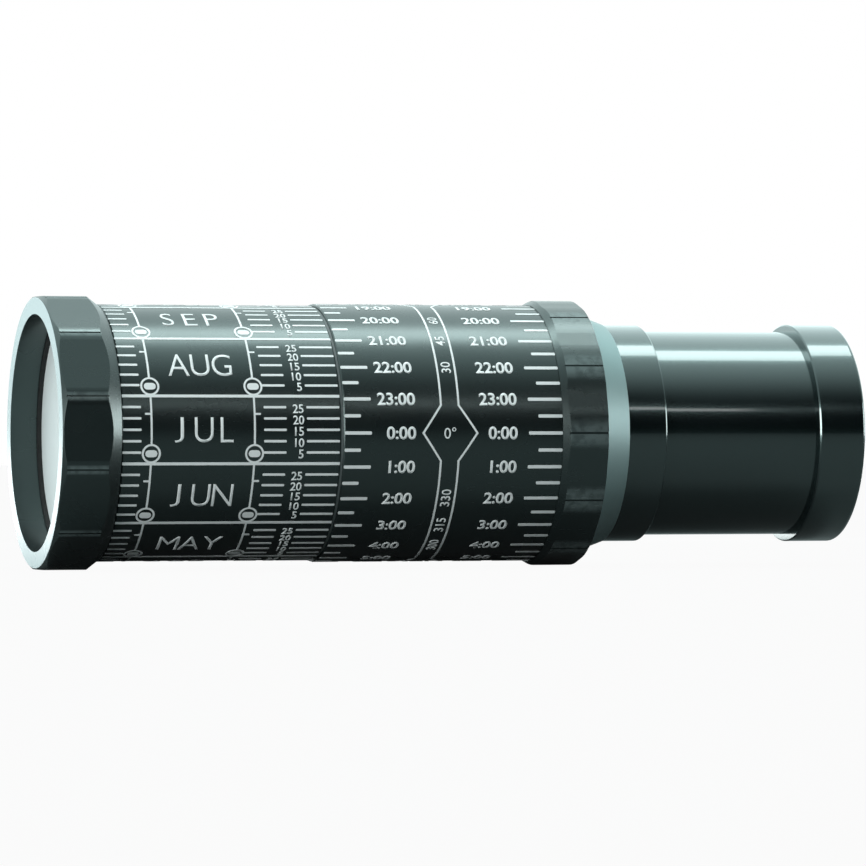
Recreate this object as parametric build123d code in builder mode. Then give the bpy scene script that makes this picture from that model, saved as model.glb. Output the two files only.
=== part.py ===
from build123d import *

import os
from math import cos, radians, sqrt

# Hand-held star-finder viewer, lying on its side with its optical axis along X.
# The origin is on the optical axis at the front rim, +X runs back to the eye and +Z is up.
# Lengths are in millimetres, and every station along X is measured from the front rim.
#
# Four groups of pieces move against each other:
#   main body   core tube, hour barrel, grip collar, shoulder ring and focus sleeve
#   date ring   date barrel on two bearing rings, with the star map in its nose
#   bezel       front grip with the diffuser, which unscrews to change the map
#   focus tube  draw tube with both lenses and the eye cap, which slides in the focus sleeve

# ---------------------------------------------------------------- driving dimensions
facet_count = 12
bezel_across_flats = 64.0
collar_across_flats = 63.0
date_barrel_radius = 30.2
hour_barrel_radius = 30.6
sleeve_radius = 26.1
tube_radius = 24.6
eye_cap_radius = 26.35

bezel_end = 14.3
date_barrel_end = 66.5
hour_barrel_start = 67.0
hour_barrel_end = 120.3
collar_end = 131.3
shoulder_end = 138.2
sleeve_end = 147.7
eye_cap_start = 186.2
overall_length = 197.8

# ---------------------------------------------------------------- walls and fits
shell_wall = 1.5
running_clearance = 0.06
seat_clearance = 0.05
free_gap = 0.3
edge_break = 0.3

# ---------------------------------------------------------------- grip facets
half_facet = 180 / facet_count
bezel_corner_rounding = 8.0
collar_corner_rounding = 24.0
facet_line_width = 0.5
facet_line_depth = 0.2

# ---------------------------------------------------------------- bezel and diffuser
front_bore_radius = 27.9
bezel_cone_slope = 0.75
retainer_start = 6.5
retainer_thickness = 1.0
retainer_inner_radius = 27.2
groove_depth = 0.6
diffuser_thickness = 1.6
bezel_lip_thickness = 0.8
bezel_lip_radius = 26.6
thread_radius = 29.25
seal_thickness = 0.5
nose_gap = 0.1

diffuser_start = retainer_start + retainer_thickness
bezel_lip_start = diffuser_start + diffuser_thickness
bezel_lip_end = bezel_lip_start + bezel_lip_thickness
nose_start = bezel_lip_end + seal_thickness
barrel_shoulder = bezel_end + nose_gap

# ---------------------------------------------------------------- star map in the date barrel's nose
nose_bore_radius = 28.0
map_carrier_radius = nose_bore_radius - seat_clearance
map_carrier_start = bezel_lip_end + nose_gap
map_flange_thickness = 0.8
map_window_radius = 25.4
map_film_radius = 27.0
map_film_thickness = 0.25
map_clamp_inner_radius = 25.6
map_carrier_length = 1.7
map_ledge_thickness = 0.7
map_ledge_radius = 27.5

map_film_start = map_carrier_start + map_flange_thickness
map_film_end = map_film_start + map_film_thickness
map_carrier_end = map_carrier_start + map_carrier_length
map_ledge_end = map_carrier_end + map_ledge_thickness

# ---------------------------------------------------------------- core tube, nut, mask and spring
core_front_radius = 26.0
core_front_bore = 24.6
nut_radius = map_ledge_radius - free_gap
nut_start = map_ledge_end + free_gap
nut_lip_thickness = 0.8
nut_window_radius = 24.4
nut_end = 18.0
mask_thickness = 0.3
mask_radius = 25.9
mask_window_radii = (20.0, 15.5)
mask_window_drop = 4.5
spring_wire = 0.3
spring_rise = 0.9

mask_start = nut_start + nut_lip_thickness
core_start = mask_start + mask_thickness

# ---------------------------------------------------------------- date barrel bearings
date_bore_radius = date_barrel_radius - shell_wall
bearing_bore = core_front_radius + running_clearance
bearing_length = 7.0
front_bearing_start = nut_end + spring_wire + spring_rise
front_bearing_end = front_bearing_start + bearing_length
bearing_web_thickness = 1.0
bearing_web_radius = 27.4
rear_bearing_start = 58.0

# ---------------------------------------------------------------- rear of the core tube, hour barrel
flange_radius = 29.3
flange_end = 69.0
core_rear_radius = 27.4
core_rear_bore = 25.8
core_end = 133.0
sleeve_start = 112.0
hour_bore_radius = 28.6

# ---------------------------------------------------------------- collar and shoulder ring
collar_spigot_length = 3.0
collar_front_radius = 30.8
collar_front_run = 2.1
collar_counterbore_start = 126.0
shoulder_spigot_radius = 28.4
shoulder_base_radius = 28.9
shoulder_tip_radius = 26.45

# ---------------------------------------------------------------- focus sleeve
sleeve_bore = tube_radius + 0.08
felt_bore = tube_radius + running_clearance
felt_groove_radius = 25.3
felt_width = 4.0
felt_starts = {"front_felt_band": 115.0, "rear_felt_band": 140.0}

# ---------------------------------------------------------------- draw tube and its optics
tube_start = 104.0
tube_end = 192.2
tube_bore = tube_radius - shell_wall
fitted_radius = tube_bore - seat_clearance
rib_width = 2.0
rib_radius = 21.6
lens_face_radius = rib_radius - 0.1

cell_flange_start = 101.0
cell_flange_radius = core_rear_bore - free_gap
field_lens_start = 108.0
field_lens_edge = 2.0
field_lens_curve = 147.0

field_stop_start = 148.0
field_stop_thickness = 1.2
field_stop_radius = 19.0

eye_lens_start = 182.0
eye_lens_edge = 2.4
eye_lens_curve = 190.0
eye_retainer_length = 3.0

eye_opening_radius = 20.5
eye_aperture_radius = 17.0
eye_funnel_depth = 3.6
eye_edge_rounding = 0.9

field_lens_rear = field_lens_start + field_lens_edge
eye_lens_rear = eye_lens_start + eye_lens_edge


# ---------------------------------------------------------------- helpers
def band(start, end, inner, outer, mode=Mode.ADD):
    """A rectangle in a half section: from start to end along X, from radius inner to outer."""
    with Locations(((start + end) / 2, (inner + outer) / 2)):
        Rectangle(end - start, outer - inner, mode=mode)


def facet_outline(sketch, across_flats, rounding, turn):
    """A twelve-sided outline with softened corners and a fine line cut along each corner."""
    apothem = across_flats / 2
    crest = rounding + (apothem - rounding) / cos(radians(half_facet))
    RegularPolygon(apothem / cos(radians(half_facet)), facet_count, rotation=turn)
    fillet(sketch.vertices(), rounding)
    with PolarLocations(crest, facet_count, start_angle=turn):
        Rectangle(2 * facet_line_depth, facet_line_width, mode=Mode.SUBTRACT)


def turned_blank(start, end, crest, front, rear):
    """Half-section points of a turned blank; front and rear are (edge radius, run of its cone)."""
    return (
        (start, 0),
        (start, front[0]),
        (start + front[1], crest),
        (end - rear[1], crest),
        (end, rear[0]),
        (end, 0),
    )


def rims_at(builder, radius):
    """The circular edges of that radius, from front to rear."""
    circles = builder.edges().filter_by(GeomType.CIRCLE)
    return circles.filter_by(lambda edge: abs(edge.radius - radius) < 1e-6).sort_by(Axis.X)


def sag(curve_radius, face_radius):
    """How far a spherical lens face stands out over its own edge."""
    return curve_radius - sqrt(curve_radius**2 - face_radius**2)


def save(name, builder):
    """Labels a finished piece and writes it as one STEP file."""
    builder.part.label = name
    export_step(builder.part, f"parts/{name}.step")


def save_ring(name, *bands):
    """A turned ring whose half section is the union of (start, end, inner, outer) bands."""
    with BuildPart() as ring:
        with BuildSketch(Plane.XZ):
            for start, end, inner, outer in bands:
                band(start, end, inner, outer)
        revolve(axis=Axis.X)
    save(name, ring)


# ---------------------------------------------------------------- bezel group
def make_front_bezel():
    crest = bezel_across_flats / 2 + 1
    front_cone = (crest - 1.3, 1.3)
    rear_cone = (date_barrel_radius, (crest - date_barrel_radius) / bezel_cone_slope)
    blank = turned_blank(0, bezel_end, crest, front_cone, rear_cone)
    with BuildPart() as bezel:
        with BuildSketch(Plane.YZ) as outline:
            facet_outline(outline, bezel_across_flats, bezel_corner_rounding, half_facet)
        extrude(amount=bezel_end)
        with BuildSketch(Plane.XZ):
            with BuildLine():
                Polyline(*blank, close=True)
            make_face()
        revolve(axis=Axis.X, mode=Mode.INTERSECT)
        with BuildSketch(Plane.XZ):
            band(0, retainer_start, 0, front_bore_radius)
            band(retainer_start, diffuser_start, 0, front_bore_radius + groove_depth)
            band(diffuser_start, bezel_lip_start, 0, front_bore_radius)
            band(bezel_lip_start, bezel_lip_end, 0, bezel_lip_radius)
            band(bezel_lip_end, bezel_end, 0, thread_radius + seat_clearance)
        revolve(axis=Axis.X, mode=Mode.SUBTRACT)
    save("front_bezel", bezel)


def make_diffuser():
    save_ring(
        "diffuser_disc",
        (diffuser_start, bezel_lip_start, 0, front_bore_radius - seat_clearance),
    )
    save_ring(
        "diffuser_retaining_ring",
        (retainer_start, diffuser_start, retainer_inner_radius, front_bore_radius + groove_depth),
    )


def make_bezel_seal():
    inner = nose_bore_radius + seat_clearance
    outer = thread_radius - seat_clearance
    save_ring("bezel_seal_ring", (bezel_lip_end, nose_start, inner, outer))


# ---------------------------------------------------------------- date ring group
def make_date_barrel():
    web_end = front_bearing_end + bearing_web_thickness
    with BuildPart() as barrel:
        with BuildSketch(Plane.XZ):
            band(nose_start, barrel_shoulder, nose_bore_radius, thread_radius)
            band(barrel_shoulder, front_bearing_end, nose_bore_radius, date_barrel_radius)
            band(map_carrier_end, map_ledge_end, map_ledge_radius, nose_bore_radius)
            band(front_bearing_end, web_end, bearing_web_radius, date_barrel_radius)
            band(web_end, date_barrel_end, date_bore_radius, date_barrel_radius)
        revolve(axis=Axis.X)
        chamfer(rims_at(barrel, date_barrel_radius), edge_break)
    save("date_barrel", barrel)


def make_bearing_rings():
    save_ring(
        "front_bearing_ring",
        (front_bearing_start, front_bearing_end, bearing_bore, nose_bore_radius),
    )
    save_ring(
        "rear_bearing_ring",
        (rear_bearing_start, rear_bearing_start + bearing_length, bearing_bore, date_bore_radius),
    )


def make_star_map():
    save_ring(
        "map_carrier_ring",
        (map_carrier_start, map_film_start, map_window_radius, map_carrier_radius),
        (map_film_start, map_carrier_end, map_film_radius, map_carrier_radius),
    )
    save_ring("star_map_film", (map_film_start, map_film_end, 0, map_film_radius))
    save_ring(
        "map_clamp_ring",
        (map_film_end, map_carrier_end, map_clamp_inner_radius, map_film_radius),
    )


# ---------------------------------------------------------------- main body group
def make_core_tube():
    save_ring(
        "core_tube",
        (core_start, hour_barrel_start, core_front_bore, core_front_radius),
        (hour_barrel_start, flange_end, core_front_bore, flange_radius),
        (flange_end, sleeve_start, core_rear_bore, core_rear_radius),
        (sleeve_start, core_end, sleeve_radius, core_rear_radius),
    )


def make_core_retaining_nut():
    save_ring(
        "core_retaining_nut",
        (nut_start, mask_start, nut_window_radius, nut_radius),
        (mask_start, nut_end, core_front_radius, nut_radius),
    )


def make_horizon_mask():
    with BuildPart() as mask:
        with BuildSketch(Plane.YZ.offset(mask_start)):
            Circle(mask_radius)
            with Locations((0, -mask_window_drop)):
                Ellipse(*mask_window_radii, mode=Mode.SUBTRACT)
        extrude(amount=mask_thickness)
    save("horizon_mask", mask)


def make_curved_spring_washer():
    """A thin ring bent over its cross axis, so it bears on two high and two low points."""
    inner = core_front_radius + free_gap
    outer = nose_bore_radius - free_gap
    bend_radius = outer**2 / (2 * spring_rise)
    with BuildPart() as washer:
        with BuildSketch(Plane.XZ):
            band(nut_end, front_bearing_start, inner, outer)
        revolve(axis=Axis.X)
        with BuildSketch(Plane.XZ.offset(-outer)):
            with Locations((nut_end + bend_radius, 0)):
                Circle(bend_radius)
                Circle(bend_radius - spring_wire, mode=Mode.SUBTRACT)
        extrude(amount=2 * outer, mode=Mode.INTERSECT)
    save("curved_spring_washer", washer)


def make_friction_washer():
    inner = core_front_radius + seat_clearance
    outer = date_barrel_radius - edge_break
    save_ring("friction_washer", (date_barrel_end, hour_barrel_start, inner, outer))


def make_hour_barrel():
    with BuildPart() as barrel:
        with BuildSketch(Plane.XZ):
            band(hour_barrel_start, flange_end, flange_radius, hour_barrel_radius)
            band(flange_end, hour_barrel_end, hour_bore_radius, hour_barrel_radius)
        revolve(axis=Axis.X)
        chamfer(rims_at(barrel, hour_barrel_radius)[0], edge_break)
    save("hour_barrel", barrel)


def make_grip_collar():
    crest = collar_across_flats / 2 + 0.5
    spigot_start = hour_barrel_end - collar_spigot_length
    front_cone = (collar_front_radius, collar_front_run)
    rear_cone = (crest - edge_break, edge_break)
    blank = turned_blank(hour_barrel_end, collar_end, crest, front_cone, rear_cone)
    with BuildPart() as collar:
        with BuildSketch(Plane.YZ.offset(hour_barrel_end)) as outline:
            facet_outline(outline, collar_across_flats, collar_corner_rounding, 0)
        extrude(amount=collar_end - hour_barrel_end)
        with BuildSketch(Plane.XZ):
            with BuildLine():
                Polyline(*blank, close=True)
            make_face()
        revolve(axis=Axis.X, mode=Mode.INTERSECT)
        with BuildSketch(Plane.XZ):
            band(spigot_start, hour_barrel_end, 0, hour_bore_radius)
        revolve(axis=Axis.X)
        with BuildSketch(Plane.XZ):
            band(spigot_start, collar_counterbore_start, 0, core_rear_radius)
            band(collar_counterbore_start, collar_end, 0, shoulder_spigot_radius)
        revolve(axis=Axis.X, mode=Mode.SUBTRACT)
    save("grip_collar", collar)


def make_shoulder_ring():
    """A ring nut with a conical shoulder, which screws on the core tube and clamps the collar."""
    with BuildPart() as shoulder:
        with BuildSketch(Plane.XZ):
            with BuildLine():
                Polyline(
                    (collar_counterbore_start, core_rear_radius),
                    (collar_counterbore_start, shoulder_spigot_radius),
                    (collar_end, shoulder_spigot_radius),
                    (collar_end, shoulder_base_radius),
                    (shoulder_end, shoulder_tip_radius),
                    (shoulder_end, sleeve_radius),
                    (core_end, sleeve_radius),
                    (core_end, core_rear_radius),
                    close=True,
                )
            make_face()
        revolve(axis=Axis.X)
    save("shoulder_ring", shoulder)


def make_focus_sleeve():
    with BuildPart() as sleeve:
        with BuildSketch(Plane.XZ):
            band(sleeve_start, sleeve_end, sleeve_bore, sleeve_radius)
            for start in felt_starts.values():
                band(start, start + felt_width, sleeve_bore, felt_groove_radius, Mode.SUBTRACT)
        revolve(axis=Axis.X)
        chamfer(rims_at(sleeve, sleeve_radius)[-1], edge_break)
    save("focus_sleeve", sleeve)
    for name, start in felt_starts.items():
        save_ring(name, (start, start + felt_width, felt_bore, felt_groove_radius))


# ---------------------------------------------------------------- focus tube group
def make_draw_tube():
    save_ring(
        "draw_tube",
        (tube_start, tube_end, tube_bore, tube_radius),
        (field_lens_rear, field_lens_rear + rib_width, rib_radius, tube_bore),
        (eye_lens_start - rib_width, eye_lens_start, rib_radius, tube_bore),
    )


def make_field_lens():
    bulge = sag(field_lens_curve, lens_face_radius)
    with BuildPart() as lens:
        with BuildSketch(Plane.XZ):
            with BuildLine():
                Polyline(
                    (field_lens_rear + bulge, 0),
                    (field_lens_start, 0),
                    (field_lens_start, fitted_radius),
                    (field_lens_rear, fitted_radius),
                    (field_lens_rear, lens_face_radius),
                )
                RadiusArc(
                    (field_lens_rear, lens_face_radius),
                    (field_lens_rear + bulge, 0),
                    field_lens_curve,
                )
            make_face()
        revolve(axis=Axis.X)
    save("field_lens", lens)
    save_ring(
        "field_lens_cell",
        (cell_flange_start, tube_start, rib_radius, cell_flange_radius),
        (tube_start, field_lens_start, rib_radius, fitted_radius),
    )


def make_field_stop():
    stop_end = field_stop_start + field_stop_thickness
    save_ring("field_stop", (field_stop_start, stop_end, field_stop_radius, fitted_radius))


def make_eye_lens():
    bulge = sag(eye_lens_curve, lens_face_radius)
    with BuildPart() as lens:
        with BuildSketch(Plane.XZ):
            with BuildLine():
                RadiusArc(
                    (eye_lens_start - bulge, 0),
                    (eye_lens_start, lens_face_radius),
                    eye_lens_curve,
                )
                Polyline(
                    (eye_lens_start, lens_face_radius),
                    (eye_lens_start, fitted_radius),
                    (eye_lens_rear, fitted_radius),
                    (eye_lens_rear, lens_face_radius),
                )
                RadiusArc(
                    (eye_lens_rear, lens_face_radius),
                    (eye_lens_rear + bulge, 0),
                    eye_lens_curve,
                )
                Line((eye_lens_rear + bulge, 0), (eye_lens_start - bulge, 0))
            make_face()
        revolve(axis=Axis.X)
    save("eye_lens", lens)
    retainer_end = eye_lens_rear + eye_retainer_length
    save_ring("eye_lens_retaining_ring", (eye_lens_rear, retainer_end, rib_radius, fitted_radius))


def make_eye_cap():
    with BuildPart() as cap:
        with BuildSketch(Plane.XZ):
            with BuildLine():
                Polyline(
                    (eye_cap_start, tube_radius),
                    (eye_cap_start, eye_cap_radius),
                    (overall_length, eye_cap_radius),
                    (overall_length, eye_opening_radius),
                    (overall_length - eye_funnel_depth, eye_aperture_radius),
                    (tube_end, eye_aperture_radius),
                    (tube_end, tube_radius),
                    close=True,
                )
            make_face()
        revolve(axis=Axis.X)
        chamfer(rims_at(cap, eye_cap_radius)[0], edge_break)
        fillet(rims_at(cap, eye_cap_radius)[-1], eye_edge_rounding)
        fillet(rims_at(cap, eye_opening_radius), eye_edge_rounding)
    save("eye_cap", cap)


def main():
    os.makedirs("parts", exist_ok=True)
    make_front_bezel()
    make_diffuser()
    make_bezel_seal()
    make_date_barrel()
    make_bearing_rings()
    make_star_map()
    make_core_tube()
    make_core_retaining_nut()
    make_horizon_mask()
    make_curved_spring_washer()
    make_friction_washer()
    make_hour_barrel()
    make_grip_collar()
    make_shoulder_ring()
    make_focus_sleeve()
    make_draw_tube()
    make_field_lens()
    make_field_stop()
    make_eye_lens()
    make_eye_cap()


main()
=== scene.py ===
from math import cos, pi, radians, sin, tau

import bpy
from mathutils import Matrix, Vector


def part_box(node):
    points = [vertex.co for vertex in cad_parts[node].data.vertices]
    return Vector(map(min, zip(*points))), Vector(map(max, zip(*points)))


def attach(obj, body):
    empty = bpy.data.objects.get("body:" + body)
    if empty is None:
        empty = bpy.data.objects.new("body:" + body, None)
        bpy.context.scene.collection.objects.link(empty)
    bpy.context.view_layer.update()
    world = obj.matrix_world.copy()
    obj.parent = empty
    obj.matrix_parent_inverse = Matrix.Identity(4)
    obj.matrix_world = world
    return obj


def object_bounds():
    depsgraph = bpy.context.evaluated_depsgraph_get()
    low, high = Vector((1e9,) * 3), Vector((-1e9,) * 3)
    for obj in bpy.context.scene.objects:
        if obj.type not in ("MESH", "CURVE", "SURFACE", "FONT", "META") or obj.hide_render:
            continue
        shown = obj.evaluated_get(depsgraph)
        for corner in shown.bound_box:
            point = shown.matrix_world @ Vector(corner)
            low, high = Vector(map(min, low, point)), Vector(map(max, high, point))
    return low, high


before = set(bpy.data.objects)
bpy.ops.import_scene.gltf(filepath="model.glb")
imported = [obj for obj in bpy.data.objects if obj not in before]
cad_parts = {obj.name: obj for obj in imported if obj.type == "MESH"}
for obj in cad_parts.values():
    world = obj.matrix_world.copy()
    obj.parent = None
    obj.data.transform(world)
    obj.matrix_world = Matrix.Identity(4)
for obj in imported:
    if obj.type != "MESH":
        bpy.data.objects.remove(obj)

bl_info = {
    "name": "Star finder viewer",
    "version": (1, 0, 0),
    "blender": (4, 5, 0),
    "location": "View3D > Sidebar > Star finder",
    "description": "Dial printing, finishes and stage for a hand-held star-finder viewer",
    "category": "Object",
}

CAD_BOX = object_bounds()
MM = 0.001

# The two printed barrels, as (lowest corner, highest corner).
DATE_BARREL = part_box("date_barrel")
HOUR_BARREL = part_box("hour_barrel")
DATE_RADIUS = DATE_BARREL[1].z
HOUR_RADIUS = HOUR_BARREL[1].z
# The date barrel shows from the bezel's rear edge.
DATE_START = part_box("front_bezel")[1].x
DATE_END = DATE_BARREL[1].x
HOUR_START = HOUR_BARREL[0].x
HOUR_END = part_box("grip_collar")[0].x + 3 * MM
FLOOR = CAD_BOX[0][2]

MONTHS = ("JAN", "FEB", "MAR", "APR", "MAY", "JUN", "JUL", "AUG", "SEP", "OCT", "NOV", "DEC")
MONTH_TURN = tau / len(MONTHS)
DAY_STEPS = (5, 10, 15, 20, 25)
DAY_TURN = radians(1)
HOURS = 24
HOUR_TURN = tau / HOURS
# The month that faces the front, and how far its first line lies below the front.
FRONT_MONTH = MONTHS.index("JUL")
FRONT_MONTH_LINE = radians(-13.6)

# Words are the top pass of ink.
WORD_LAYER = 4
# A flat dial is cut across every so often, so that it bends smoothly round its barrel.
BEND_TURN = radians(2.5)
# The guide band on the hour dial: its middle, its half width and its diamonds.
GUIDE_MIDDLE = HOUR_START + 25.75 * MM
GUIDE_HALF_WIDTH = 2.15 * MM
DIAMOND_REACH = 6.85 * MM
DIAMOND_NECK = radians(12.4)

PLASTIC_IOR = 1.85
PLASTIC_SHEEN_TINT = (0.78, 1.0, 0.98, 1.0)
# Painted highlight: a paler teal for the thin lines along the grips' rounded corners.
CORNER_HIGHLIGHT = (0.16, 0.21, 0.21, 1.0)
# Distance in millimetres from the axis to a grip's rounded corners.
BEZEL_CORNER = 32.85
COLLAR_CORNER = 31.77


# ---------------------------------------------------------------- sizes and colours
def length(name, description, default):
    """A size in metres that shows in the scene's own unit."""
    return bpy.props.FloatProperty(
        name=name, description=description, default=default, min=0.0, precision=5, unit="LENGTH"
    )


def tint(name, description, default):
    """A linear colour."""
    return bpy.props.FloatVectorProperty(
        name=name, description=description, default=default, size=3, min=0.0, max=1.0, subtype="COLOR"
    )


class StarViewerInk(bpy.types.PropertyGroup):
    """Sizes of the ink and of the figures on both dials."""

    height: length("Ink height", "How far the ink stands over the barrel", 0.06 * MM)
    root: length("Ink root", "How far the ink reaches into the barrel", 0.06 * MM)
    step: length("Ink step", "Height between one pass of ink and the next", 0.006 * MM)
    hair_line: length("Hair line", "Width of the thin rings and guide lines", 0.46 * MM)
    month_line: length("Month line", "Width of the line at the start of a month", 0.68 * MM)
    day_tick: length("Day tick", "Width of a five-day tick", 0.56 * MM)
    hour_tick: length("Hour tick", "Width of an hour tick", 0.78 * MM)
    month_height: length("Month letters", "Height of the month letters", 5.8 * MM)
    month_pitch: length("Month spacing", "Distance from one month letter to the next", 5.2 * MM)
    day_height: length("Day figures", "Height of the day figures", 2.1 * MM)
    hour_height: length("Hour figures", "Height of the hour figures", 3.05 * MM)
    guide_height: length("Guide figures", "Height of the degree figures in the guide band", 2.3 * MM)


class StarViewerColours(bpy.types.PropertyGroup):
    """Colours of the finishes."""

    ink: tint("Ink", "Printed figures and lines", (0.86, 0.93, 0.93))
    dial: tint("Dial plastic", "Both printed barrels", (0.004, 0.0065, 0.007))
    grip: tint("Grip plastic", "Front bezel and rear collar", (0.004, 0.0065, 0.007))
    tube: tint("Gloss plastic", "Draw tube, sleeve and eye cap", (0.003, 0.005, 0.0055))
    shoulder: tint("Shoulder", "Anodised shoulder ring", (0.28, 0.40, 0.40))
    # The front rim colour is pale as a painted highlight: it stands in for lamp light falling on the
    # bezel's front face.
    rim: tint("Front rim", "Turned front face of the bezel", (0.54, 0.66, 0.68))
    opal: tint("Diffuser", "Opal diffuser disc", (0.78, 0.86, 0.86))
    washer: tint("Washer", "Friction washer between the barrels", (0.20, 0.24, 0.24))


class StarViewerStage(bpy.types.PropertyGroup):
    """Camera, lamps and floor."""

    lens: bpy.props.FloatProperty(
        name="Lens", description="Focal length on a 36 mm sensor", default=225.9, min=1.0, unit="CAMERA"
    )
    yaw: bpy.props.FloatProperty(
        name="Yaw",
        description="How far the camera stands round towards the front rim",
        default=radians(16.0),
        subtype="ANGLE",
    )
    distance: length("Camera distance", "From the camera to the front rim, along its view", 1.2739)
    offset: length("Camera offset", "How far the front rim lies left of the camera's line", 0.0935)
    floor_size: length("Floor size", "Side of the square floor", 8.0)


# ---------------------------------------------------------------- selecting and joining
def deselect_all():
    bpy.ops.object.select_all(action="DESELECT")


def make_active(pieces):
    """Selects these pieces alone and makes the first one active."""
    deselect_all()
    for piece in pieces:
        piece.select_set(True)
    bpy.context.view_layer.objects.active = pieces[0]


def apply_place(piece):
    make_active([piece])
    bpy.ops.object.transform_apply(location=True, rotation=True, scale=True)


def apply_modifier(piece, modifier):
    make_active([piece])
    bpy.ops.object.modifier_apply(modifier=modifier.name)


def joined(pieces, name):
    """One piece made of all these, with its origin at the scene's origin."""
    make_active(pieces)
    if len(pieces) > 1:
        bpy.ops.object.join()
    piece = bpy.context.object
    apply_place(piece)
    piece.name = name
    piece.data.name = name
    return piece


# ---------------------------------------------------------------- ink shapes on a flat sheet
# A dial is drawn on a flat upright sheet that faces the front: X runs along the barrel and Z
# is the distance round it. The finished sheet is rolled on the barrel. Each kind of shape has
# its own pass of ink, and a higher pass lies over a lower one.
def ink_bar(ink, x, z, size, layer, rounding=0.3):
    """A bar centred at x and z with softened ends; size is (along X, along Z)."""
    bpy.ops.mesh.primitive_plane_add(
        size=1, location=(x, -layer * ink.step, z), rotation=(pi / 2, 0, 0)
    )
    bar = bpy.context.object
    bar.scale = (size[0], size[1], 1)
    apply_place(bar)
    bpy.ops.object.mode_set(mode="EDIT")
    bpy.ops.mesh.select_all(action="SELECT")
    bpy.ops.mesh.bevel(offset=rounding * min(size), segments=3, affect="VERTICES")
    bpy.ops.object.mode_set(mode="OBJECT")
    return bar


def ink_outline(ink, x, z, reach, corners, layer, turn=0.0):
    """The outline of a regular shape stretched to reach = (half width, half height)."""
    bpy.ops.mesh.primitive_circle_add(
        vertices=corners,
        radius=1,
        fill_type="NGON",
        location=(x, -layer * ink.step, z),
        rotation=(pi / 2, 0, 0),
    )
    outline = bpy.context.object
    outline.scale = (reach[0], reach[1], 1)
    apply_place(outline)
    bpy.ops.object.mode_set(mode="EDIT")
    bpy.ops.mesh.select_all(action="SELECT")
    bpy.ops.mesh.inset(thickness=ink.hair_line, use_boundary=True, use_even_offset=True)
    bpy.ops.mesh.delete(type="FACE")
    bpy.ops.object.mode_set(mode="OBJECT")
    return outline


def ink_words(ink, words, x, z, height, squeeze=1.0, weight=0.0, align="CENTER", quarter=0):
    """Words of that height with their middle at z. A quarter turn makes them read upwards."""
    bpy.ops.object.text_add()
    text = bpy.context.object
    text.data.body = words
    text.data.resolution_u = 5
    text.data.offset = weight
    text.data.align_x = align
    bpy.ops.object.convert(target="MESH")
    text = bpy.context.object
    low = min(v.co.y for v in text.data.vertices)
    high = max(v.co.y for v in text.data.vertices)
    size = height / (high - low)
    drop = -(low + high) / 2 * size
    text.scale = (size * squeeze, size, 1)
    text.rotation_euler = (pi / 2, -pi / 2 * quarter, 0)
    text.location = (x - drop, 0, z) if quarter else (x, 0, z + drop)
    text.location.y = -WORD_LAYER * ink.step
    apply_place(text)
    return text


def cut_open(piece, z, keep_above):
    """Cuts away what lies on one side of a level on the flat sheet."""
    make_active([piece])
    bpy.ops.object.mode_set(mode="EDIT")
    bpy.ops.mesh.select_all(action="SELECT")
    bpy.ops.mesh.bisect(
        plane_co=(0, 0, z), plane_no=(0, 0, 1), clear_inner=keep_above, clear_outer=not keep_above
    )
    bpy.ops.object.mode_set(mode="OBJECT")


def repeat_round(piece, count, step):
    """Copies a pattern up the sheet, count times in all."""
    array = piece.modifiers.new("Repeat", "ARRAY")
    array.count = count
    array.use_relative_offset = False
    array.use_constant_offset = True
    array.constant_offset_displace = (0, 0, step)
    apply_modifier(piece, array)


def level_cuts(piece, pitch):
    """Cuts a flat pattern across at even levels, so that it can bend smoothly between them."""
    levels = [v.co.z for v in piece.data.vertices]
    level = (min(levels) // pitch + 1) * pitch
    make_active([piece])
    bpy.ops.object.mode_set(mode="EDIT")
    while level < max(levels):
        bpy.ops.mesh.select_all(action="SELECT")
        bpy.ops.mesh.bisect(plane_co=(0, 0, level), plane_no=(0, 0, 1))
        level += pitch
    bpy.ops.object.mode_set(mode="OBJECT")


def roll_on_barrel(piece, ink, radius):
    """Gives the flat sheet its thickness and bends it round the barrel."""
    body = piece.modifiers.new("Thickness", "SOLIDIFY")
    body.thickness = ink.height + ink.root
    body.offset = 1.0
    apply_modifier(piece, body)
    piece.location.y = ink.root
    apply_place(piece)
    bend = piece.modifiers.new("Roll", "SIMPLE_DEFORM")
    bend.deform_method = "BEND"
    bend.deform_axis = "X"
    levels = [v.co.z for v in piece.data.vertices]
    bend.angle = (max(levels) - min(levels)) / radius
    apply_modifier(piece, bend)
    piece.location.y = -radius
    apply_place(piece)
    make_active([piece])
    bpy.ops.object.mode_set(mode="EDIT")
    bpy.ops.mesh.select_all(action="SELECT")
    bpy.ops.mesh.remove_doubles(threshold=0.0005 * MM)
    bpy.ops.mesh.normals_make_consistent(inside=False)
    bpy.ops.object.mode_set(mode="OBJECT")


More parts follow.
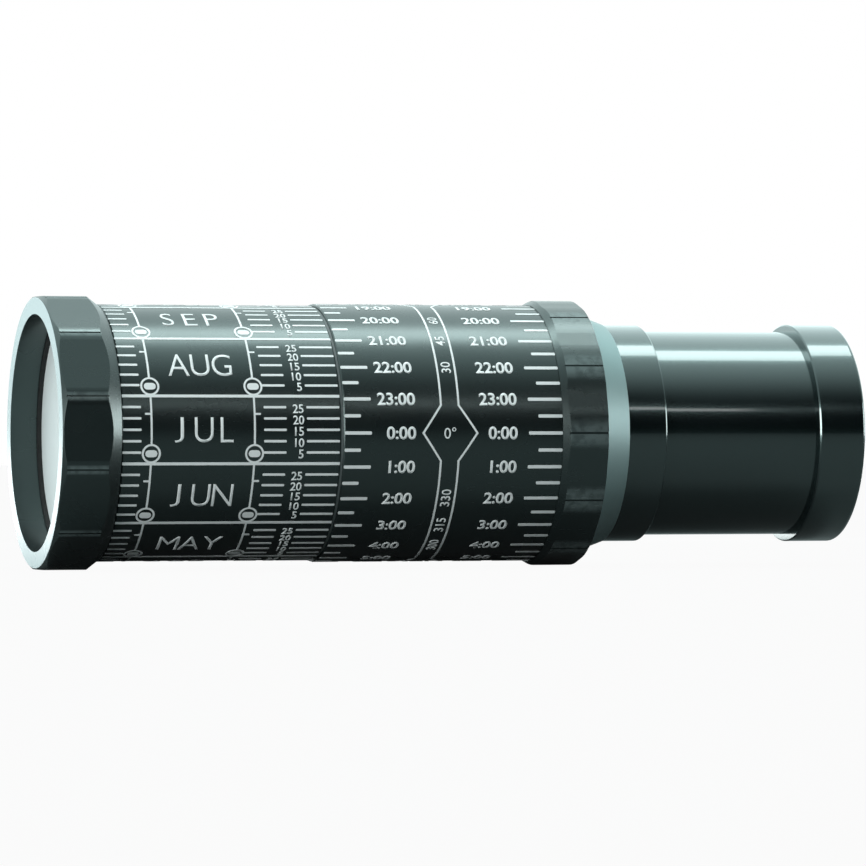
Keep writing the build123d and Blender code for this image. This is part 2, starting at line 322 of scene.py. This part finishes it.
# ---------------------------------------------------------------- date dial
def date_pattern(ink):
    """The lines, rings, ticks and day figures of one month, which starts at level zero."""
    month = MONTH_TURN * DATE_RADIUS
    day = DAY_TURN * DATE_RADIUS
    span = DATE_END - DATE_START
    mid = (DATE_START + DATE_END) / 2
    left_tick = (DATE_START + 2.35 * MM, 4.4 * MM)
    inner_tick = (DATE_END - 15.85 * MM, 5.4 * MM)
    outer_tick = (DATE_END - 4.35 * MM, 7.9 * MM)
    ring_lines = (DATE_START + 6.95 * MM, DATE_END - 20.75 * MM)
    ring_reach = 2.25 * MM
    pieces = [ink_bar(ink, mid, 0, (span - 0.4 * MM, ink.month_line), 3, 0.1)]
    for days in DAY_STEPS:
        for x, size in (left_tick, inner_tick, outer_tick):
            pieces.append(ink_bar(ink, x, days * day, (size, ink.day_tick), 2))
        words = str(days)
        pieces.append(
            ink_words(
                ink, words, DATE_END - 8.9 * MM, (days - 0.7) * day, ink.day_height,
                squeeze=0.95, weight=0.012, align="RIGHT",
            )
        )
    for x, side in zip(ring_lines, (-1, 1)):
        centre = 4.5 * day
        top = centre + ring_reach
        pieces.append(ink_outline(ink, x, centre, (ring_reach, ring_reach), 40, 1))
        pieces.append(ink_bar(ink, x, centre, (2.8 * MM, 1.65 * MM), 1, 0.46))
        run = month - top
        pieces.append(ink_bar(ink, x, top + run / 2, (ink.hair_line, run), 0, 0.0))
        stub = x + side * 0.75 * MM
        pieces.append(ink_bar(ink, stub, 22.0 * day, (1.5 * MM, ink.hair_line), 1))
    return joined(pieces, "date_pattern")


def month_names(ink):
    """All month names, one above the other up the sheet."""
    middle = DATE_START + 19.4 * MM
    pieces = []
    for index, name in enumerate(MONTHS):
        z = (index + 0.5) * MONTH_TURN * DATE_RADIUS
        for place, letter in enumerate(name):
            x = middle + (place - 1) * ink.month_pitch
            squeeze, weight = (1.6, -0.014) if letter == "J" else (0.9, -0.009)
            pieces.append(
                ink_words(ink, letter, x, z, ink.month_height, squeeze=squeeze, weight=weight)
            )
    return joined(pieces, "month_names")


def print_date_dial(ink):
    pattern = date_pattern(ink)
    level_cuts(pattern, BEND_TURN * DATE_RADIUS)
    repeat_round(pattern, len(MONTHS), MONTH_TURN * DATE_RADIUS)
    names = month_names(ink)
    level_cuts(names, BEND_TURN * DATE_RADIUS)
    dial = joined([pattern, names], "date_dial_print")
    front = FRONT_MONTH * MONTH_TURN - FRONT_MONTH_LINE
    dial.location.z = -front * DATE_RADIUS
    apply_place(dial)
    roll_on_barrel(dial, ink, DATE_RADIUS)
    return dial


# ---------------------------------------------------------------- hour dial
def hour_ticks(ink):
    """The ticks of one hour and of the half hour above it."""
    step = HOUR_TURN * HOUR_RADIUS
    pieces = []
    for z, left, right in ((0, 6.5 * MM, 8.3 * MM), (step / 2, 3.9 * MM, 5.9 * MM)):
        pieces.append(ink_bar(ink, HOUR_START + 0.2 * MM + left / 2, z, (left, ink.hour_tick), 1))
        pieces.append(ink_bar(ink, HOUR_END - 0.05 * MM - right / 2, z, (right, ink.hour_tick), 1))
    return joined(pieces, "hour_ticks")


def guide_quarter(ink):
    """A quarter of the guide band: the diamond at level zero and the band above it."""
    quarter = tau / 4 * HOUR_RADIUS
    x = GUIDE_MIDDLE
    side = GUIDE_HALF_WIDTH + ink.hair_line / 2
    neck = DIAMOND_NECK * HOUR_RADIUS
    apex = neck * DIAMOND_REACH / (DIAMOND_REACH - side)
    diamond = ink_outline(ink, x, 0, (DIAMOND_REACH, apex), 4, 2)
    cut_open(diamond, neck, keep_above=False)
    cut_open(diamond, -neck, keep_above=True)
    pieces = [diamond]
    run = quarter - 2 * neck
    for lean in (-1, 1):
        line_x = x + lean * (side - ink.hair_line / 2)
        pieces.append(ink_bar(ink, line_x, quarter / 2, (ink.hair_line, run), 1, 0.0))
    return joined(pieces, "guide_quarter")


def hour_figures(ink):
    """Hour figures on both sides of the guide band, and degree figures inside it."""
    pieces = []
    x = GUIDE_MIDDLE
    for index in range(HOURS):
        z = index * HOUR_TURN * HOUR_RADIUS
        hour = (HOURS - index) % HOURS
        words = f"{hour}:00"
        for edge in (HOUR_START + 17.45 * MM, HOUR_END - 11.1 * MM):
            pieces.append(
                ink_words(
                    ink, words, edge, z, ink.hour_height, squeeze=1.02, weight=0.022, align="RIGHT"
                )
            )
        degrees = str(index * 360 // HOURS)
        place = index % (HOURS // 4)
        if place == 0:
            pieces.append(ink_words(ink, degrees + "°", x, z, 1.15 * ink.guide_height))
        elif place in (2, 3, 4):
            pieces.append(
                ink_words(ink, degrees, x, z, ink.guide_height, weight=0.005, quarter=1)
            )
    return joined(pieces, "hour_figures")


def print_hour_dial(ink):
    pitch = BEND_TURN * HOUR_RADIUS
    ticks = hour_ticks(ink)
    repeat_round(ticks, HOURS, HOUR_TURN * HOUR_RADIUS)
    guide = guide_quarter(ink)
    level_cuts(guide, pitch)
    repeat_round(guide, 4, tau / 4 * HOUR_RADIUS)
    figures = hour_figures(ink)
    level_cuts(figures, pitch)
    dial = joined([ticks, guide, figures], "hour_dial_print")
    roll_on_barrel(dial, ink, HOUR_RADIUS)
    return dial


# ---------------------------------------------------------------- shader node helpers
def new_group(name, inputs, outputs):
    """An empty shader node group; inputs and outputs are (name, socket type, default)."""
    group = bpy.data.node_groups.new(name, "ShaderNodeTree")
    for label, kind, default in inputs:
        socket = group.interface.new_socket(label, in_out="INPUT", socket_type=kind)
        socket.default_value = default
    for label, kind in outputs:
        group.interface.new_socket(label, in_out="OUTPUT", socket_type=kind)
    return group


class Nodes:
    """Short calls for wiring one node tree."""

    def __init__(self, tree):
        self.tree = tree

    def add(self, kind, values=(), **settings):
        """A node with its settings; values maps input names or numbers to values or sockets."""
        node = self.tree.nodes.new(kind)
        for key, value in settings.items():
            setattr(node, key, value)
        for key, value in dict(values).items():
            if isinstance(value, bpy.types.NodeSocket):
                self.tree.links.new(value, node.inputs[key])
            else:
                node.inputs[key].default_value = value
        return node

    def math(self, operation, first, second=0.0, clamp=False):
        node = self.add("ShaderNodeMath", {0: first, 1: second}, operation=operation)
        node.use_clamp = clamp
        return node.outputs[0]

    def range(self, value, low, high, start=0.0, end=1.0):
        """A smooth step of the value from low to high."""
        node = self.add(
            "ShaderNodeMapRange",
            {"Value": value, "From Min": low, "From Max": high, "To Min": start, "To Max": end},
            interpolation_type="SMOOTHSTEP",
        )
        return node.outputs[0]

    def mix(self, factor, first, second):
        """A colour between two colours."""
        node = self.tree.nodes.new("ShaderNodeMix")
        node.data_type = "RGBA"
        for key, value in ((0, factor), (6, first), (7, second)):
            if isinstance(value, bpy.types.NodeSocket):
                self.tree.links.new(value, node.inputs[key])
            else:
                node.inputs[key].default_value = value
        return node.outputs[2]

    def noise(self, scale, detail=2.0, vector=None, roughness=0.5):
        values = {"Scale": scale, "Detail": detail, "Roughness": roughness}
        if vector is None:
            vector = self.add("ShaderNodeTexCoord").outputs["Object"]
        values["Vector"] = vector
        return self.add("ShaderNodeTexNoise", values).outputs["Fac"]


def opaque(colour):
    return (*colour, 1.0)


# ---------------------------------------------------------------- shared effects
def ring_place_group():
    """Where a point lies on a turned part: station along the axis and radius, in millimetres."""
    group = new_group("ring_place", (), (("Station", "NodeSocketFloat"), ("Radius", "NodeSocketFloat")))
    n = Nodes(group)
    place = n.add("ShaderNodeTexCoord").outputs["Object"]
    parts = n.add("ShaderNodeSeparateXYZ", {0: place})
    across = n.add("ShaderNodeCombineXYZ", {"Y": parts.outputs["Y"], "Z": parts.outputs["Z"]})
    radius = n.add("ShaderNodeVectorMath", {0: across.outputs[0]}, operation="LENGTH")
    out = n.add("NodeGroupOutput")
    group.links.new(n.math("MULTIPLY", parts.outputs["X"], 1000.0), out.inputs["Station"])
    group.links.new(n.math("MULTIPLY", radius.outputs["Value"], 1000.0), out.inputs["Radius"])
    return group


def moulded_skin_group():
    """Fine moulded grain, faint flow patches and sparse rubbed marks on plastic."""
    group = new_group(
        "moulded_skin",
        (
            ("Colour", "NodeSocketColor", (0.01, 0.01, 0.01, 1.0)),
            ("Rubbed", "NodeSocketColor", (0.05, 0.06, 0.06, 1.0)),
            ("Roughness", "NodeSocketFloat", 0.4),
            ("Variation", "NodeSocketFloat", 0.08),
            ("Grain Scale", "NodeSocketFloat", 5000.0),
        ),
        (
            ("Colour", "NodeSocketColor"),
            ("Roughness", "NodeSocketFloat"),
            ("Height", "NodeSocketFloat"),
        ),
    )
    n = Nodes(group)
    given = n.add("NodeGroupInput").outputs
    patches = n.noise(55.0, detail=3.0)
    grain = n.noise(given["Grain Scale"], detail=1.0)
    place = n.add("ShaderNodeTexCoord").outputs["Object"]
    stretched = n.add(
        "ShaderNodeMapping", {"Vector": place, "Scale": (260.0, 2600.0, 2600.0)}
    ).outputs[0]
    rubs = n.range(n.noise(1.0, detail=2.0, vector=stretched), 0.66, 0.78)
    where = n.range(n.noise(38.0, detail=1.0), 0.5, 0.68)
    marks = n.math("MULTIPLY", n.math("MULTIPLY", rubs, where), 0.5)
    colour = n.mix(marks, given["Colour"], given["Rubbed"])
    spread = n.math("MULTIPLY", n.math("SUBTRACT", patches, 0.5), given["Variation"])
    rough = n.math("ADD", n.math("ADD", given["Roughness"], spread), n.math("MULTIPLY", marks, 0.1))
    out = n.add("NodeGroupOutput")
    group.links.new(colour, out.inputs["Colour"])
    group.links.new(rough, out.inputs["Roughness"])
    group.links.new(grain, out.inputs["Height"])
    return group


def shared(name, maker):
    """A node group that is built once and then used again."""
    return bpy.data.node_groups.get(name) or maker()


# ---------------------------------------------------------------- finishes
def new_finish(name):
    """A new material with an empty shader tree and its wiring helper."""
    material = bpy.data.materials.new(name)
    material.use_nodes = True
    material.node_tree.nodes.clear()
    return material, Nodes(material.node_tree)


def close_finish(n, shader):
    out = n.add("ShaderNodeOutputMaterial")
    n.tree.links.new(shader.outputs[0], out.inputs["Surface"])


def bump(n, height, depth, strength=1.0):
    """A normal bent by a height pattern that is depth metres deep."""
    node = n.add("ShaderNodeBump", {"Height": height, "Strength": strength, "Distance": depth})
    return node.outputs[0]


def plastic_finish(name, colour, roughness, grain_depth, coat=0.0, variation=0.08):
    """Black moulded plastic with a teal cast; the coat makes it glossy."""
    material, n = new_finish(name)
    skin = n.add("ShaderNodeGroup", node_tree=shared("moulded_skin", moulded_skin_group))
    skin.inputs["Colour"].default_value = opaque(colour)
    skin.inputs["Rubbed"].default_value = opaque([c * 3 + 0.01 for c in colour])
    skin.inputs["Roughness"].default_value = roughness
    skin.inputs["Variation"].default_value = variation
    shader = n.add(
        "ShaderNodeBsdfPrincipled",
        {
            "Base Color": skin.outputs["Colour"],
            "Roughness": skin.outputs["Roughness"],
            "Normal": bump(n, skin.outputs["Height"], grain_depth),
            "IOR": PLASTIC_IOR,
            "Specular Tint": PLASTIC_SHEEN_TINT,
            "Coat Weight": coat,
            "Coat Roughness": 0.06,
            "Coat Tint": (0.9, 1.0, 1.0, 1.0),
        },
    )
    close_finish(n, shader)
    return material


def grip_finish(name, colours, corner_radius):
    """Grip plastic with a painted highlight along its rounded corners, and a front face painted pale as a
    painted highlight, finely ringed.
    """
    material, n = new_finish(name)
    skin = n.add("ShaderNodeGroup", node_tree=shared("moulded_skin", moulded_skin_group))
    skin.inputs["Colour"].default_value = opaque(colours.grip)
    skin.inputs["Rubbed"].default_value = opaque([c * 3 + 0.01 for c in colours.grip])
    skin.inputs["Roughness"].default_value = 0.27
    place = n.add("ShaderNodeGroup", node_tree=shared("ring_place", ring_place_group))
    # Painted highlight: a thin paler line along the rounded corners, broken up by noise.
    corner = n.range(place.outputs["Radius"], corner_radius - 0.09, corner_radius, 0.0, 0.6)
    corner_highlight = n.math("MULTIPLY", corner, n.range(n.noise(500.0), 0.3, 0.6, 0.5, 1.0))
    skin_with_highlight = n.mix(corner_highlight, skin.outputs["Colour"], CORNER_HIGHLIGHT)
    # The front face mask carries the pale rim colour, a painted highlight, with fine turning rings over
    # it.
    face = n.range(place.outputs["Station"], 0.02, 0.10, 1.0, 0.0)
    rings = n.add(
        "ShaderNodeTexWave",
        {
            "Vector": n.add("ShaderNodeCombineXYZ", {"X": place.outputs["Radius"]}).outputs[0],
            "Scale": 3.0,
            "Distortion": 0.6,
            "Detail": 1.0,
        },
    )
    painted_lit_face = n.mix(rings.outputs["Fac"], opaque([c * 0.86 for c in colours.rim]), opaque(colours.rim))
    shader = n.add(
        "ShaderNodeBsdfPrincipled",
        {
            "Base Color": n.mix(face, skin_with_highlight, painted_lit_face),
            "Roughness": skin.outputs["Roughness"],
            "Normal": bump(n, skin.outputs["Height"], 0.003 * MM),
            "IOR": PLASTIC_IOR,
            "Specular Tint": PLASTIC_SHEEN_TINT,
        },
    )
    close_finish(n, shader)
    return material


def shoulder_finish(colours):
    """Satin anodised metal with fine turning marks round the axis."""
    material, n = new_finish("anodised_shoulder")
    place = n.add("ShaderNodeGroup", node_tree=shared("ring_place", ring_place_group))
    stations = n.add("ShaderNodeCombineXYZ", {"X": place.outputs["Station"]}).outputs[0]
    turning = n.noise(9.0, detail=3.0, vector=stations)
    tone = n.mix(turning, opaque([c * 0.9 for c in colours.shoulder]), opaque(colours.shoulder))
    shader = n.add(
        "ShaderNodeBsdfPrincipled",
        {
            "Base Color": tone,
            "Metallic": 0.85,
            "Roughness": n.range(turning, 0.2, 0.8, 0.38, 0.48),
            "Normal": bump(n, turning, 0.004 * MM),
        },
    )
    close_finish(n, shader)
    return material


def opal_finish(colours):
    """Frosted opal plastic, a little cloudy."""
    material, n = new_finish("opal_diffuser")
    cloud = n.noise(60.0, detail=2.0)
    frost = n.noise(3500.0, detail=1.0)
    tone = n.mix(cloud, opaque([c * 0.95 for c in colours.opal]), opaque(colours.opal))
    shader = n.add(
        "ShaderNodeBsdfPrincipled",
        {
            "Base Color": tone,
            "Roughness": n.range(frost, 0.3, 0.7, 0.5, 0.62),
            "Normal": bump(n, frost, 0.004 * MM),
            "Subsurface Weight": 0.2,
            "Subsurface Radius": (2.0 * MM, 2.0 * MM, 2.0 * MM),
            "Subsurface Scale": 1.0,
        },
    )
    close_finish(n, shader)
    return material


def ink_finish(colours):
    """Screen-printed white ink with faint pinholes."""
    material, n = new_finish("white_ink")
    mottle = n.noise(900.0, detail=2.0)
    pinholes = n.range(n.noise(4200.0, detail=1.0), 0.70, 0.80)
    tone = n.mix(mottle, opaque([c * 0.96 for c in colours.ink]), opaque(colours.ink))
    shader = n.add(
        "ShaderNodeBsdfPrincipled",
        {
            "Base Color": n.mix(n.math("MULTIPLY", pinholes, 0.25), tone, (0.4, 0.46, 0.46, 1.0)),
            "Roughness": n.range(mottle, 0.3, 0.7, 0.46, 0.56),
            "Normal": bump(n, mottle, 0.004 * MM),
        },
    )
    close_finish(n, shader)
    return material


def lens_finish():
    """Polished glass with a faint green-blue coating."""
    material, n = new_finish("coated_lens")
    smears = n.noise(120.0, detail=3.0)
    shader = n.add(
        "ShaderNodeBsdfPrincipled",
        {
            "Base Color": n.mix(smears, (0.93, 0.98, 0.98, 1.0), (0.97, 1.0, 1.0, 1.0)),
            "Roughness": n.range(smears, 0.45, 0.8, 0.0, 0.03),
            "IOR": 1.52,
            "Transmission Weight": 1.0,
            "Specular Tint": (0.75, 0.95, 1.0, 1.0),
        },
    )
    close_finish(n, shader)
    return material


def star_film_finish():
    """Printed star map: bright and faint stars, a pale galaxy band and a fine degree grid."""
    material, n = new_finish("star_map_print")
    place = n.add("ShaderNodeTexCoord").outputs["Object"]
    stars = []
    for scale, size in ((330.0, 0.075), (900.0, 0.10)):
        cells = n.add("ShaderNodeTexVoronoi", {"Vector": place, "Scale": scale})
        stars.append(n.range(cells.outputs["Distance"], size * 0.5, size, 1.0, 0.0))
    bright = n.math("MAXIMUM", stars[0], n.math("MULTIPLY", stars[1], 0.5))
    band = n.range(n.noise(45.0, detail=4.0), 0.5, 0.75, 0.0, 0.25)
    ring = n.add("ShaderNodeGroup", node_tree=shared("ring_place", ring_place_group))
    spacing = n.math("PINGPONG", ring.outputs["Radius"], 4.5)
    grid = n.range(spacing, 0.0, 0.12, 0.45, 0.0)
    shine = n.math("MAXIMUM", bright, n.math("MAXIMUM", grid, band))
    shader = n.add(
        "ShaderNodeBsdfPrincipled",
        {
            "Base Color": n.mix(shine, (0.006, 0.014, 0.05, 1.0), (0.85, 0.9, 0.95, 1.0)),
            "Roughness": n.range(n.noise(300.0), 0.3, 0.7, 0.22, 0.3),
        },
    )
    close_finish(n, shader)
    return material


def plain_finish(name, colour, low_rough, high_rough, scale, depth, metallic=0.0, sheen=0.0):
    """A hidden part's finish: mottled colour and roughness over a fine bump."""
    material, n = new_finish(name)
    mottle = n.noise(scale, detail=3.0)
    shader = n.add(
        "ShaderNodeBsdfPrincipled",
        {
            "Base Color": n.mix(mottle, opaque([c * 0.8 for c in colour]), opaque(colour)),
            "Roughness": n.range(mottle, 0.3, 0.7, low_rough, high_rough),
            "Metallic": metallic,
            "Sheen Weight": sheen,
            "Normal": bump(n, mottle, depth),
        },
    )
    close_finish(n, shader)
    return material


def wear_finish(finish, *nodes):
    """Puts one finish on these CAD nodes."""
    for name in nodes:
        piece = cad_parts[name]
        piece.data.materials.clear()
        piece.data.materials.append(finish)


# ---------------------------------------------------------------- stage
def white_surface(name, white):
    """A matt pale surface that looks white itself and still shows a soft shadow."""
    material, n = new_finish(name)
    paper = n.noise(3.0, detail=2.0)
    matt = n.add(
        "ShaderNodeBsdfDiffuse", {"Color": n.mix(paper, (0.14, 0.15, 0.15, 1.0), (0.17, 0.18, 0.18, 1.0))}
    )
    glow = n.add("ShaderNodeEmission", {"Color": (1.0, 1.0, 1.0, 1.0), "Strength": 1.0})
    rays = n.add("ShaderNodeLightPath")
    share = n.math("MULTIPLY", rays.outputs["Is Camera Ray"], white)
    shader = n.add("ShaderNodeMixShader", {0: share, 1: matt.outputs[0], 2: glow.outputs[0]})
    close_finish(n, shader)
    return material


def add_lamp(name, place, aim, size, power, colour=(1.0, 1.0, 1.0)):
    """A rectangular soft lamp that faces a point."""
    lamp = bpy.data.lights.new(name, "AREA")
    lamp.shape = "RECTANGLE"
    lamp.size, lamp.size_y = size
    lamp.energy = power
    lamp.color = colour
    holder = bpy.data.objects.new(name, lamp)
    bpy.context.scene.collection.objects.link(holder)
    holder.location = place
    holder.rotation_euler = (Vector(aim) - Vector(place)).to_track_quat("-Z", "Y").to_euler()
    return holder


def add_camera(stage):
    """The camera stands level with the axis and turns towards the front rim."""
    forward = Vector((sin(stage.yaw), cos(stage.yaw), 0))
    right = Vector((cos(stage.yaw), -sin(stage.yaw), 0))
    data = bpy.data.cameras.new("viewer_camera")
    data.lens = stage.lens
    camera = bpy.data.objects.new("viewer_camera", data)
    bpy.context.scene.collection.objects.link(camera)
    camera.location = right * stage.offset - forward * stage.distance
    camera.rotation_euler = forward.to_track_quat("-Z", "Y").to_euler()
    bpy.context.scene.camera = camera


def light_world():
    """White to the camera; its light on the object grows towards the top and the back."""
    world = bpy.data.worlds.new("studio")
    bpy.context.scene.world = world
    world.use_nodes = True
    world.node_tree.nodes.clear()
    n = Nodes(world.node_tree)
    rays = n.add("ShaderNodeLightPath")
    way = n.add("ShaderNodeTexCoord").outputs["Generated"]
    parts = n.add("ShaderNodeSeparateXYZ", {0: way}).outputs
    height = n.math("ADD", parts["Z"], n.math("MULTIPLY", parts["Y"], 0.9))
    glow = n.range(height, -0.3, 1.25, 0.0, 1.5)
    soft = n.add("ShaderNodeBackground", {"Color": (0.85, 1.0, 1.0, 1.0), "Strength": glow})
    white = n.add("ShaderNodeBackground", {"Color": (1.0, 1.0, 1.0, 1.0), "Strength": 1.0})
    mixed = n.add(
        "ShaderNodeMixShader",
        {0: rays.outputs["Is Camera Ray"], 1: soft.outputs[0], 2: white.outputs[0]},
    )
    out = n.add("ShaderNodeOutputWorld")
    world.node_tree.links.new(mixed.outputs[0], out.inputs["Surface"])


# ---------------------------------------------------------------- operators
class PrintDateDial(bpy.types.Operator):
    """Prints the months and days round the front barrel"""

    bl_idname = "star_viewer.print_date_dial"
    bl_label = "Print date dial"

    def execute(self, context):
        dial = print_date_dial(context.scene.star_viewer_ink)
        dial.data.materials.clear()
        dial.data.materials.append(ink_finish(context.scene.star_viewer_colours))
        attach(dial, "date_ring")
        return {"FINISHED"}


class PrintHourDial(bpy.types.Operator):
    """Prints the hours and the guide band round the rear barrel"""

    bl_idname = "star_viewer.print_hour_dial"
    bl_label = "Print hour dial"

    def execute(self, context):
        dial = print_hour_dial(context.scene.star_viewer_ink)
        dial.data.materials.clear()
        ink = bpy.data.materials.get("white_ink") or ink_finish(context.scene.star_viewer_colours)
        dial.data.materials.append(ink)
        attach(dial, "main_body")
        return {"FINISHED"}


class FinishOuterParts(bpy.types.Operator):
    """Gives the grips, barrels, shoulder, tube and eye cap their finishes"""

    bl_idname = "star_viewer.finish_outer_parts"
    bl_label = "Finish outer parts"

    def execute(self, context):
        colours = context.scene.star_viewer_colours
        wear_finish(grip_finish("bezel_plastic", colours, BEZEL_CORNER), "front_bezel")
        wear_finish(grip_finish("collar_plastic", colours, COLLAR_CORNER), "grip_collar")
        dial = plastic_finish("dial_plastic", colours.dial, 0.27, 0.002 * MM)
        wear_finish(dial, "date_barrel", "hour_barrel")
        gloss = plastic_finish("gloss_plastic", colours.tube, 0.2, 0.001 * MM, coat=1.0, variation=0.04)
        wear_finish(gloss, "focus_sleeve", "draw_tube", "eye_cap")
        wear_finish(shoulder_finish(colours), "shoulder_ring")
        wear_finish(opal_finish(colours), "diffuser_disc")
        washer = plain_finish("grey_washer", colours.washer, 0.4, 0.55, 400.0, 0.003 * MM)
        wear_finish(washer, "friction_washer")
        return {"FINISHED"}


class FinishInnerParts(bpy.types.Operator):
    """Gives the lenses, star map, bearings and other inner parts their finishes"""

    bl_idname = "star_viewer.finish_inner_parts"
    bl_label = "Finish inner parts"

    def execute(self, context):
        wear_finish(lens_finish(), "field_lens", "eye_lens")
        wear_finish(star_film_finish(), "star_map_film")
        black = plain_finish("matt_black", (0.012, 0.014, 0.014), 0.6, 0.8, 700.0, 0.006 * MM)
        wear_finish(
            black, "diffuser_retaining_ring", "map_carrier_ring", "map_clamp_ring", "core_tube",
            "core_retaining_nut", "horizon_mask", "field_lens_cell", "field_stop",
            "eye_lens_retaining_ring",
        )
        bearing = plain_finish("waxy_bearing", (0.62, 0.60, 0.52), 0.35, 0.5, 250.0, 0.002 * MM)
        wear_finish(bearing, "front_bearing_ring", "rear_bearing_ring")
        spring = plain_finish("spring_steel", (0.5, 0.51, 0.52), 0.2, 0.34, 900.0, 0.001 * MM, 1.0)
        wear_finish(spring, "curved_spring_washer")
        felt = plain_finish("black_felt", (0.02, 0.02, 0.022), 0.85, 0.95, 2600.0, 0.06 * MM, sheen=0.6)
        wear_finish(felt, "front_felt_band", "rear_felt_band")
        rubber = plain_finish("seal_rubber", (0.02, 0.02, 0.02), 0.5, 0.65, 500.0, 0.002 * MM)
        wear_finish(rubber, "bezel_seal_ring")
        return {"FINISHED"}


class SetStage(bpy.types.Operator):
    """Adds the floor, the lamps and the camera"""

    bl_idname = "star_viewer.set_stage"
    bl_label = "Set stage"

    def execute(self, context):
        stage = context.scene.star_viewer_stage
        deselect_all()
        bpy.ops.mesh.primitive_plane_add(size=stage.floor_size, location=(0.1, 0, FLOOR))
        floor = context.object
        floor.name = "floor"
        floor.data.materials.append(white_surface("white_floor", 0.95))
        middle = (0.09, 0, 0)
        add_lamp("overhead_softbox", (0.09, 0.10, 0.75), middle, (0.9, 0.22), 3.2, (0.93, 1.0, 1.0))
        add_lamp("front_strip", (0.05, -0.85, 0.42), middle, (0.9, 0.05), 0.5)
        add_lamp("low_back_strip", (0.09, 0.30, -0.02), middle, (0.9, 0.03), 0.25)
        add_lamp("front_left_light", (-0.88, -0.55, 0.12), middle, (0.4, 0.5), 8.0)
        add_lamp("front_right_light", (1.25, -0.30, 0.12), middle, (0.4, 0.5), 7.0)
        add_camera(stage)
        light_world()
        context.scene.view_settings.view_transform = "Standard"
        return {"FINISHED"}


OPERATORS = (PrintDateDial, PrintHourDial, FinishOuterParts, FinishInnerParts, SetStage)


class StarViewerPanel(bpy.types.Panel):
    """Lists the steps that build the viewer's looks"""

    bl_idname = "VIEW3D_PT_star_viewer"
    bl_label = "Star finder viewer"
    bl_space_type = "VIEW_3D"
    bl_region_type = "UI"
    bl_category = "Star finder"

    def draw(self, context):
        for step in OPERATORS:
            self.layout.operator(step.bl_idname)


CLASSES = (StarViewerInk, StarViewerColours, StarViewerStage, *OPERATORS, StarViewerPanel)


def register():
    for kind in CLASSES:
        bpy.utils.register_class(kind)
    bpy.types.Scene.star_viewer_ink = bpy.props.PointerProperty(type=StarViewerInk)
    bpy.types.Scene.star_viewer_colours = bpy.props.PointerProperty(type=StarViewerColours)
    bpy.types.Scene.star_viewer_stage = bpy.props.PointerProperty(type=StarViewerStage)


def unregister():
    del bpy.types.Scene.star_viewer_stage
    del bpy.types.Scene.star_viewer_colours
    del bpy.types.Scene.star_viewer_ink
    for kind in reversed(CLASSES):
        bpy.utils.unregister_class(kind)


def main():
    register()
    bpy.ops.star_viewer.print_date_dial()
    bpy.ops.star_viewer.print_hour_dial()
    bpy.ops.star_viewer.finish_outer_parts()
    bpy.ops.star_viewer.finish_inner_parts()
    bpy.ops.star_viewer.set_stage()


if __name__ == "__main__":
    main()
